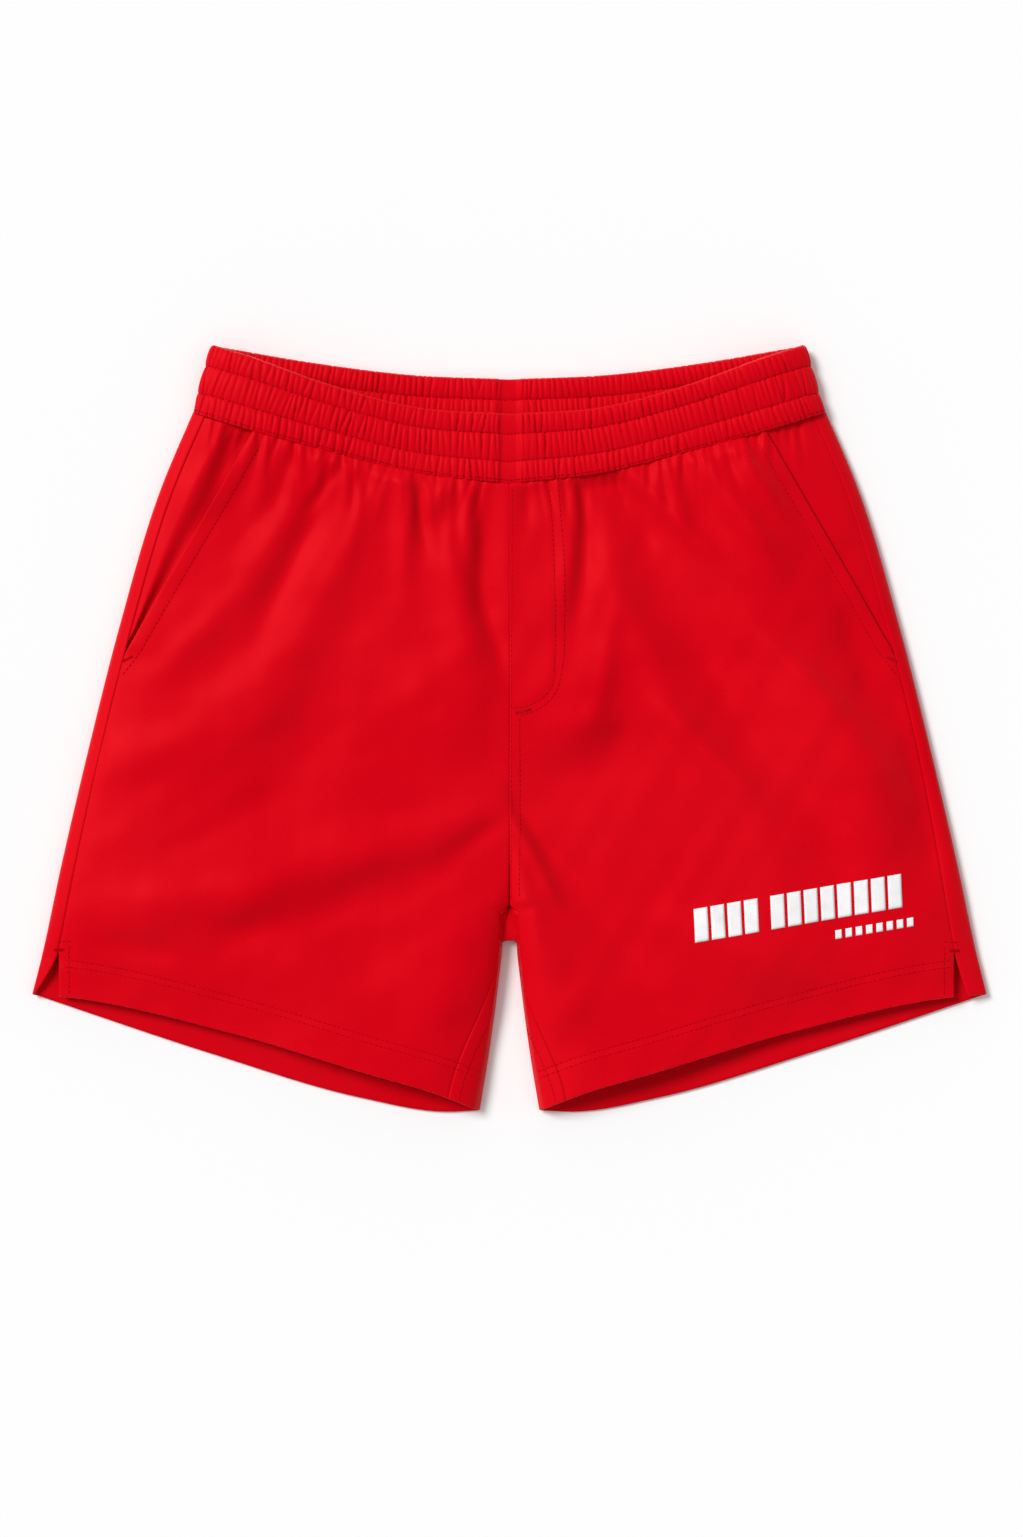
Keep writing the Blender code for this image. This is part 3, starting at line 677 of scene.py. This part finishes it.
# the facing starts behind the front panel, rises at the mouth and ends in the side seam
def facingDrop(x, v, side):
    mouth, end = pocketMouthX(v, side), sideSeamX(v, side)
    hidden = ease((mouth - x) / pocket["overlap"])
    shown = np.clip((x - mouth) / np.maximum(end - mouth, 4.0), 0, 1)
    atMouth = pocket["mouthDrop"][side] + 2.4 * ease((v - 0.8) / 0.14) * (side < 0)
    atMouth = atMouth * (1 - 0.6 * ease((v - 0.97) / 0.03))
    fall = ease((shown - 0.12) / 0.5) if side < 0 else 1 - (1 - shown) ** 1.7
    return atMouth + (pocket["hiddenDrop"] + 2.0 - atMouth) * hidden - (atMouth - 0.3) * fall


# Pocket facing: the front cover less the facing's drop, from behind the front panel to the side seam
def makeFacing(side):
    word, node, _ = halves[side]
    rows = garment["pocketRow"] - 0.01 + (1.01 - garment["pocketRow"]) * spacing(155.0, 1.9, 0.9)
    rows = np.minimum(rows, 1.0)
    v = rows[:, None]
    start, end = pocketMouthX(rows, side) - pocket["overlap"], sideSeamX(rows, side) + 0.2
    share = spacing(70.0, 1.7, 0.8, 6.0, (False, True))
    x = start[:, None] + (end - start)[:, None] * share
    v = v + 0 * x
    y = coverY(x, v)
    z = frontZ(x, v, side, y) - facingDrop(x, v, side) - seamDip(end[:, None] - x)
    z -= 0.8 * ease((v - 0.9955) / 0.0045)
    piece = gridMesh(f"pocketFacing{word}", np.stack([x, y, z], axis=2)[::-1], side)
    thicken(piece, panels["thickness"])
    dress(piece, wovenPolyester, side, [f"pocket_facing_{node}"])


# Pocket bag: one lining that runs under the front panel, turns at its inner edge and comes back below
def makeBag(side):
    word, node, _ = halves[side]
    rows = pocket["bagRow"] + (0.985 - pocket["bagRow"]) * spacing(225.0, 4.5, 1.5)
    outer = pocketMouthX(rows, side) - pocket["overlap"] - 1.0
    above = ease((rows - garment["pocketRow"]) / 0.06)
    inner = pocket["bagInner"] + 14.0 * (1 - quarterRound((rows - pocket["bagRow"]) / 0.12))
    share = np.linspace(1, 0, 24)
    upperX = inner[:, None] + (outer + 11.0 * above - inner)[:, None] * share
    lowerX = inner[:, None] + (outer - inner)[:, None] * share[::-1]
    closing = above[:, None] + (1 - above[:, None]) * quarterRound((outer[:, None] - lowerX) / 30.0)
    gap = 0.4 + pocket["bagGap"] * quarterRound((rows[:, None] - pocket["bagRow"]) / 0.1) * closing
    turn = np.linspace(0, np.pi, 9)[None, 1:-1]
    turnX = inner[:, None] - 1.2 * np.sin(turn)
    turnDrop = gap[:, :1] * (1 - np.cos(turn)) / 2
    x = np.concatenate([upperX, turnX, lowerX], axis=1)
    drop = pocket["bagDrop"] + np.concatenate([0 * upperX, turnDrop, gap], axis=1)
    v = rows[:, None] + 0 * x
    y = coverY(x, v)
    z = np.maximum(frontZ(x, v, side, y) - drop, 3.2)
    piece = gridMesh(f"pocketBag{word}", np.stack([x, y, z], axis=2), side)
    thicken(piece, pocket["bagCloth"])
    dress(piece, pocketLining, side, [f"pocket_bag_front_{node}", f"pocket_bag_back_{node}"])


fly = {"rows": (0.64, 0.992), "width": (6, 27), "drop": 1.35, "cloth": 0.4,
       "flat": (0.036, 0.150), "area": 0.0047}


# Fly facing: the front cover, lower by its drop, as wide as a quarter circle from its lower end allows
def makeFlyFacing():
    low, high = fly["rows"]
    v = low + (high - low) * np.linspace(0, 1, 60)[:, None]
    width = fly["width"][0] + fly["width"][1] * quarterRound((v - low) / 0.1)
    x = 0.6 + width * np.linspace(0, 1, 24)
    v = v + 0 * x
    y = coverY(x, v)
    z = frontZ(x, v, 1, y) - fly["drop"]
    piece = gridMesh("flyFacing", np.stack([x, y, z], axis=2)[::-1], 1)
    thicken(piece, fly["cloth"])
    dress(piece, wovenPolyester, 1, ["fly_facing"], middle=True)


band = {
    "edge": (194.2, 182.0), "wider": {1: 1.6, -1: 3.2}, "flare": 1.7, "dome": 45.0, "fold": 7.0, "top": 17.2,
    "inset": 2.2,
    "backLift": 1.5, "rows": (-0.018, 0.302, 0.698, 1.0), "wall": 0.6, "bulge": 1.05, "ridge": 1.9,
    "pitch": (2.5, 5.0), "columns": (250, 92, 22, 312), "flat": (0.52, 0.096),
    "elastic": 0.5, "elasticFlat": (0.39, 0.037),
}


# middle of the band's cloth round one half at height share h: level front, quarter of an ellipse down to the
# side, a small quarter circle under, and back along the table; with the outward normal of each point
def bandLoop(h, side):
    edge = band["edge"][0] + (band["edge"][1] - band["edge"][0]) * h
    counts, dome, fold, top = band["columns"], band["dome"], band["fold"], band["top"]
    t = [np.linspace(0, 1, n, endpoint=k == 3)[None] for k, n in enumerate(counts)]
    a, b = t[1] * np.pi / 2, t[2] * np.pi / 2
    x = [(edge - dome) * t[0], edge - dome + dome * np.sin(a),
         edge - fold * (1 - np.cos(b)), (edge - fold) * (1 - t[3])]
    z = [top + 0 * x[0], fold + (top - fold) * np.cos(a) + 0 * x[1],
         fold * (1 - np.sin(b)) + 0 * x[2], 0 * x[3]]
    x, z = np.concatenate(x, axis=1), np.concatenate(z, axis=1)
    runX, runZ = np.gradient(x, axis=1), np.gradient(z, axis=1)
    size = np.hypot(runX, runZ)
    normalX, normalZ = -runZ / size, runX / size
    front = np.arange(x.shape[1])[None] < sum(counts[:2]) + counts[2] // 2
    seam = np.where(front, throughPoints(garment["waistFront"], x), throughPoints(garment["waistBack"], x))
    rim = np.where(front, throughPoints(garment["bandTopFront"], x), throughPoints(garment["bandTopBack"], x))
    y = seam * (1 - h) + rim * h
    arc = np.concatenate([[0], np.cumsum(np.hypot(np.diff(x[len(x) // 2]), np.diff(z[len(x) // 2])))])
    z = z + band["backLift"] * ease((12 - z) / 12)
    wider = band["wider"][side] * ease((h - 0.04) / 0.3) + band["flare"] * (1 - ease(h / 0.3))
    x = x * (1 + wider / edge)
    return x - normalX * band["inset"], y, z - normalZ * band["inset"], normalX, normalZ, arc


# gathers: a level top with narrow creases of uneven depth and spacing, 1 - depth |2f - 1|^4 of the phase's
# fraction f, each crease fading towards one end of its channel
def ridges(arc, t, seed):
    draw = np.random.default_rng(seed)
    valleys = np.cumsum(draw.uniform(*band["pitch"], 160)) - 6
    lean = draw.normal(0.0, 0.55, 160) + 0.35 * np.sin(valleys / 37.0 + seed)
    depth, fade = draw.uniform(0.2, 1.25, 160), draw.uniform(-0.9, 0.9, 160)
    number = np.arange(160)
    low, high = np.interp(arc, valleys + lean, number), np.interp(arc, valleys - lean, number)
    phase = low * (1 - t) + high * t
    near = np.round(phase).astype(int)
    fading = 1 - np.abs(fade[near]) * np.where(fade[near] > 0, t, 1 - t) ** 1.5
    return 1 - depth[near] * fading * np.abs(2 * (phase % 1) - 1) ** 4


# outer (wall 1) or inner (wall -1) face of the band at height shares h
def bandWall(h, wall, side):
    h = h[:, None]
    x, y, z, normalX, normalZ, arc = bandLoop(h, side)
    out = np.zeros_like(x)
    ends = ease((arc - 4) / 4) * ease((arc[-1] - 4 - arc) / 4)
    bend = 1 - 0.45 * np.exp(-((arc - arc[sum(band["columns"][:2])]) / 14.0) ** 2)
    rim = quarterRound((1 - h) / 0.035) * quarterRound((h + 0.018) / 0.014)
    for k in range(3):
        low, high = band["rows"][k], band["rows"][k + 1]
        here = (h >= low) & ((h < high) | (k == 2))
        t = np.clip((h - low) / (high - low), 0, 1)
        puff = np.maximum(np.sin(np.pi * t), 0) ** 0.5
        ridge = ridges(arc[None], t, 400 + 10 * k + 3 * wall + side) * ends * bend
        size = band["wall"] + band["bulge"] * puff + band["ridge"] * ridge * (0.7 + 0.3 * puff)
        out += np.where(here, size * rim, 0)
        scallop = 0.55 * (ridge - 0.5) * ends * (ease((h - 0.92) / 0.08) - ease((0.08 - h) / 0.08))
        y = y + np.where(here, scallop, 0)
    return np.stack([x + wall * normalX * out, y, z + wall * normalZ * out], axis=2)


# Waistband casing of one half: outer wall from its lower edge to the rim, then the inner wall down again
def makeBand(side):
    word, node, _ = halves[side]
    rows = [low + (high - low) * spacing((high - low) * 43.0, 1.5, 0.5, 4.0)
            for low, high in zip(band["rows"], band["rows"][1:])]
    h = np.concatenate([rows[0], rows[1][1:], rows[2][1:]])
    outer, inner = bandWall(h, 1, side), bandWall(h[::-1][1:], -1, side)
    points = np.concatenate([outer, inner])
    points[:, 0, 0] = points[:, -1, 0] = 0.0
    piece = gridMesh(f"waistband{word}", points[::-1], side)
    dress(piece, wovenPolyester, side, [f"waistband_casing_{node}"], middle=True)


# the elastic: a flat strip in the middle of the band
def makeElastic(side):
    word, node, _ = halves[side]
    h = np.linspace(0.07, 0.93, 14)[:, None]
    x, y, z, normalX, normalZ, arc = bandLoop(h, side)
    ripple = 0.15 * np.sin(arc / 2.1)
    points = np.stack([x + normalX * ripple, y, z + normalZ * ripple], axis=2)[:, ::3]
    points[:, 0, 0] = 0.0
    piece = gridMesh(f"waistElastic{word}", points[::-1], side)
    thicken(piece, band["elastic"])
    piece.modifiers[0].offset = 0.0
    dress(piece, knittedElastic, side, [f"waist_elastic_{node}"], middle=True)


# Real thread is 0.3 mm thick, too fine to show, so it is drawn 0.5 mm thick.
thread = {"radius": 0.26, "length": 2.25, "pitch": 3.1, "sink": 0.06}
seamRows = {"hem": (18.2, 22.3), "slitIn": 6.4, "slitTop": 0.019, "inseamIn": 6.5, "inseamTop": 0.14}


# Stitches along lines: a capsule of 5 rings of 6 points, copied to each place and turned to the line.
# Each line is matching arrays of points and unit normals; tilt turns each stitch across the line.
def stitchMesh(name, lines, side, look=thread, tilt=0.0):
    ringX = np.array([-0.5, -0.36, 0.0, 0.36, 0.5])[:, None]
    ringR = np.array([0.25, 0.85, 1.0, 0.85, 0.25])[:, None]
    angle = np.arange(6) / 6 * 2 * np.pi
    local = np.stack([ringX * look["length"] + 0 * angle, ringR * look["radius"] * np.cos(angle),
                      ringR * look["radius"] * np.sin(angle)], axis=2).reshape(-1, 3)
    index = np.arange(30).reshape(5, 6)
    ahead = np.roll(index, -1, 1)
    ring = np.stack([index[:-1], ahead[:-1], ahead[1:], index[1:]], axis=2).reshape(-1, 4)
    caps = np.array([[5, 4, 3, 2], [5, 2, 1, 0], [24, 25, 26, 27], [24, 27, 28, 29]])
    faces = np.vstack([ring, caps])
    allPoints, allFaces, count = [], [], 0
    for line, up in lines:
        length = np.concatenate([[0], np.cumsum(np.linalg.norm(np.diff(line, axis=0), axis=1))])
        at = np.arange(look["pitch"] / 2, length[-1] - look["pitch"] / 3, look["pitch"])
        if len(at) < 1:
            continue
        centre, ahead, behind, normal = [
            np.stack([np.interp(at + step, length, values[:, k]) for k in range(3)], axis=1)
            for step, values in ((0, line), (0.4, line), (-0.4, line), (0, up))]
        normal /= np.linalg.norm(normal, axis=1, keepdims=True)
        along = ahead - behind
        along -= (along * normal).sum(1, keepdims=True) * normal
        along /= np.linalg.norm(along, axis=1, keepdims=True)
        across = np.cross(normal, along)
        along, across = (along * np.cos(tilt) + across * np.sin(tilt),
                         across * np.cos(tilt) - along * np.sin(tilt))
        centre = centre + normal * (look["radius"] - look["sink"])
        axes = np.stack([along, across, normal], axis=1)
        allPoints.append((centre[:, None] + local @ axes).reshape(-1, 3))
        allFaces.append((faces[None] + 30 * np.arange(len(at))[:, None, None] + count).reshape(-1, 4))
        count += 30 * len(at)
    points, faces = np.vstack(allPoints) * mm, np.vstack(allFaces)
    if side < 0:
        points, faces = points * (-1, 1, 1), faces[:, ::-1]
    return meshObject(name, points, faces)


# a path drawn on the front cloth, as points and normals; sink is how far the seam draws it down
def onFront(path, side, sink=0.0):
    path = np.array(path, float)
    flat = smoothPath(path, max(int(np.linalg.norm(np.diff(path, axis=0), axis=1).sum() / 0.8), 4))
    x, y = np.maximum(flat[:, 0], 0.05), flat[:, 1]

    def height(px, py):
        return frontZ(px, rowAt(px, py), side, py)

    z = height(x, y) - sink
    slopeX, slopeY = (height(x + 0.5, y) - height(x - 0.5, y)), (height(x, y + 0.5) - height(x, y - 0.5))
    up = np.stack([-slopeX, -slopeY, np.ones_like(x)], axis=1)
    return np.stack([x, y, z], axis=1), up / np.linalg.norm(up, axis=1, keepdims=True)


# a line of constant distance above the hem, from the inner leg's edge to the side seam
def hemLine(hemUp, side):
    row = np.array(hemUp / garment["rowLength"])
    start = float(innerEdge(row, "Front")[0])
    x = np.linspace(start + 1.5, float(frontEdgeX(row, side)) - 1.5, 70)
    return np.stack([x, coverY(x, row + 0 * x)], axis=1)


# points beside the pocket mouth, the side seam or the inseam, at these rows
def besideLine(lineX, rows, side, distance):
    x = lineX(rows, side) + distance
    return np.stack([x, coverY(x, rows)], axis=1)


# stitches of one half: two rows above the hem, one beside the pocket mouth, the slit and the inseam
def makeStitches(side):
    word = halves[side][0]
    hem = [onFront(hemLine(up, side), side) for up in seamRows["hem"]]
    rows = np.linspace(garment["pocketRow"] + 0.012, 0.985, 40)
    lift = float(mouthLift(np.array(panels["pocketStitch"]), side))
    mouth = [onFront(besideLine(pocketMouthX, rows, side, -panels["pocketStitch"]), side, -lift)]
    low = besideLine(pocketMouthX, np.array([garment["pocketRow"] + 0.012]), side, -panels["pocketStitch"])[0]
    corner = besideLine(sideSeamX, np.array([garment["pocketRow"] - 0.035]), side, -1.5)[0]
    mouth.append(onFront([low, (low + corner) / 2 + (0.5, -1.0), corner], side, -0.1))
    slitTop = garment["slitRow"] + seamRows["slitTop"]
    slit = [onFront(besideLine(frontEdgeX, np.linspace(0.004, slitTop, 16), side, -seamRows["slitIn"]), side)]
    top = besideLine(sideSeamX, np.array([slitTop]), side, 0.0)[0]
    slit.append(onFront([top + (-seamRows["slitIn"], 0.4), top + (-3, 0.1), top + (5.0, -0.6)], side, -0.05))
    inRows = np.linspace(0.004, seamRows["inseamTop"], 20)
    inner = [onFront(besideLine(inseamX, inRows, side, -seamRows["inseamIn"]), side)]
    for name, lines, middle in (("hemStitch", hem, True), ("pocketStitch", mouth, False),
                                ("slitStitch", slit, False), ("inseamStitch", inner, True)):
        piece = stitchMesh(f"{name}{word}", lines, side)
        dress(piece, polyesterThread, side, middle=middle)


# double row below the fly, centre seam row above it, and the two rows of the J
def makeMiddleStitches():
    seam = [onFront([(1.5, 148), (1.4, 80), (1.2, 12), (1.2, -50), (1.2, -106)], 1, 0.25),
            onFront([(6.2, 6), (6.4, -50), (6.0, -104)], 1, 0.05)]
    letterJ = [onFront(flyStitch[row], 1) for row in ("inner", "outer")]
    for name, lines in (("riseStitch", seam), ("flyStitch", letterJ)):
        dress(stitchMesh(name, lines, 1), polyesterThread, 1, middle=True)


# rows of stitches through the band, on its outer and inner face
def makeBandStitches(side):
    word = halves[side][0]
    lines = []
    for h in (0.035, band["rows"][1], band["rows"][2]):
        for wall in (1, -1):
            rows = bandWall(np.array([h - 0.004, h, h + 0.004]), wall, side)
            up = gridNormals(rows)[1] * -wall
            lines.append((rows[1], up))
    look = {**thread, "length": 1.35, "pitch": 2.3, "radius": 0.27, "sink": 0.12}
    # these stitches use the thread with painted shade in its colours
    dress(stitchMesh(f"bandStitch{word}", lines, side, look), shadedThread, side, middle=True)


# bar tacks: a dense row of stitches laid across a short line
def makeTacks():
    look = {"radius": 0.2, "length": 2.0, "pitch": 0.5, "sink": 0.0}
    tacks = {"fly_tack": (1, [(3.6, 8.8), (8.5, 9.8), (13.2, 11.2)])}
    for side in (1, -1):
        node = halves[side][1]
        low = besideLine(sideSeamX, np.array([garment["pocketRow"] - 0.01]), side, 0.0)[0]
        high = besideLine(pocketMouthX, np.array([0.978]), side, -1.0)[0]
        slit = besideLine(sideSeamX, np.array([garment["slitRow"] + 0.004]), side, 0.0)[0]
        for name, at, steps in (("pocket_tack_low", low, ((-6.5, 3.0), (-3.2, 1.4), (0.4, 0.0))),
                                ("pocket_tack_top", high, ((-2.6, -4.4), (-0.9, -1.2), (0.6, 1.6))),
                                ("slit_tack", slit, ((-3.4, 0.1), (0.0, 0.0), (3.4, -0.1)))):
            tacks[f"{name}_{node}"] = (side, [at + step for step in steps])
    for node, (side, path) in tacks.items():
        name = "".join(part.capitalize() for part in node.split("_"))
        piece = stitchMesh("stitched" + name, [onFront(path, side, 0.1)], side, look, np.pi / 2)
        dress(piece, polyesterThread, side, [node], middle=node == "fly_tack")


# A neutral row of slanted blocks in two groups, with a short row of small blocks under its outer end.
printed = {
    "angle": 9.6, "centre": (178.5, -111.5), "height": 20.5, "slant": 2.6, "lift": 0.16, "thickness": 0.1,
    "pitch": 10.5, "width": 8.6, "groups": ((-65.5, 4), (-17.5, 8)),  # first block's place, number of blocks
    "lineCentre": (224.5, -124.2), "lineHeight": 5.4, "lineSlant": 0.7,
    "linePitch": 6.4, "lineWidth": 4.0, "lineGroups": ((-23.5, 8),),
}


# one block after another as small grids laid on the cloth; all of them make one mesh
def makePrint(name, node, centre, height, slant, groups, pitch, width):
    turn = np.radians(printed["angle"])
    across, up = np.linspace(0, 1, 7), np.linspace(-0.5, 0.5, max(int(height / 1.4), 5))
    points, faces, count = [], [], 0
    for start in (first + pitch * k for first, blocks in groups for k in range(blocks)):
        a = start + width * across[None] + slant * up[:, None]
        b = height * up[:, None] + 0 * a
        x = centre[0] + a * np.cos(turn) - b * np.sin(turn)
        y = centre[1] + a * np.sin(turn) + b * np.cos(turn)
        z = frontZ(x, rowAt(x, y), 1, y) + printed["lift"] + printed["thickness"]
        index = np.arange(a.size).reshape(a.shape) + count
        points.append(np.stack([x, y, z], axis=2).reshape(-1, 3))
        faces.append(gridFaces(index.T))
        count += a.size
    piece = meshObject(name, np.vstack(points) * mm, np.vstack(faces))
    thicken(piece, printed["thickness"])
    dress(piece, transferFilm, 1, [node])


studio = {
    "floor": "#FFFFFF", "floorHalf": 6.0, "world": "#FFFFFF", "worldStrength": 0.45,
    "keyStrength": 2.36, "keySpread": 24.0, "keyHeight": 46.0, "keyTurn": -127.0,
    "frameHeight": 952.94, "distance": 2400.0, "centre": (1.24, -25.4), "plane": 6.0, "sensor": 36.0,
}


# White floor, even white surroundings, one broad lamp from the upper left and a camera straight above.
# Lens = sensor height * distance / height of the view on the cloth.
def makeStage():
    size = studio["floorHalf"]
    corners = np.array([[-size, -size, 0], [size, -size, 0], [size, size, 0], [-size, size, 0]], float)
    floor = meshObject("studioFloor", corners, np.array([[0, 1, 2, 3]]))
    material, tree, shader, place = newMaterial("whitePaper")  # uncoated paper: even and matt
    grain = addNode(tree, "TexNoise", Vector=(place, "Object"), Scale=400.0)
    bump = addNode(tree, "Bump", Strength=0.05, Distance=0.1 * mm, Height=(grain, "Fac"))
    tree.links.new(bump.outputs["Normal"], shader.inputs["Normal"])
    setSockets(shader, {"Base Color": hexColor(studio["floor"]), "Roughness": 0.9, "Specular IOR Level": 0.1})
    floor.data.materials.append(material)

    world = bpy.data.worlds.new("studioWorld")
    world.use_nodes = True
    setSockets(world.node_tree.nodes["Background"],
               {"Color": hexColor(studio["world"]), "Strength": studio["worldStrength"]})
    bpy.context.scene.world = world
    sun = bpy.data.lights.new("windowLight", "SUN")
    sun.energy, sun.angle = studio["keyStrength"], np.radians(studio["keySpread"])
    lamp = bpy.data.objects.new("windowLight", sun)
    lamp.rotation_euler = (np.radians(90 - studio["keyHeight"]), 0, np.radians(studio["keyTurn"]))
    lamp.location = (-1, 1, 1.4)
    bpy.context.scene.collection.objects.link(lamp)

    camera = bpy.data.cameras.new("topCamera")
    camera.sensor_fit, camera.sensor_height = "VERTICAL", studio["sensor"]
    camera.lens = studio["sensor"] * studio["distance"] / studio["frameHeight"]
    camera.clip_end = 20.0
    viewer = bpy.data.objects.new("topCamera", camera)
    viewer.location = np.array([*studio["centre"], studio["distance"] + studio["plane"]]) * mm
    bpy.context.scene.collection.objects.link(viewer)
    bpy.context.scene.camera = viewer
    bpy.context.scene.view_settings.view_transform = "Standard"
    bpy.context.scene.view_settings.look = "None"


makeStage()
print("stage, light and camera")
for side in (1, -1):
    makeFrontPanel(side)
    makeBackPanel(side)
    makeFacing(side)
    makeBag(side)
    print("panels and pocket", halves[side][0])
makeFlyFacing()
makeCrotch()
for side in (1, -1):
    makeBand(side)
    makeElastic(side)
print("waistband")
for side in (1, -1):
    makeStitches(side)
    makeBandStitches(side)
makeMiddleStitches()
makeTacks()
print("stitches")
makePrint("legPrint", "leg_print", printed["centre"], printed["height"], printed["slant"],
          printed["groups"], printed["pitch"], printed["width"])
makePrint("legPrintLine", "leg_print_line", printed["lineCentre"], printed["lineHeight"],
          printed["lineSlant"], printed["lineGroups"], printed["linePitch"], printed["lineWidth"])
print("print")

bpy.context.view_layer.update()
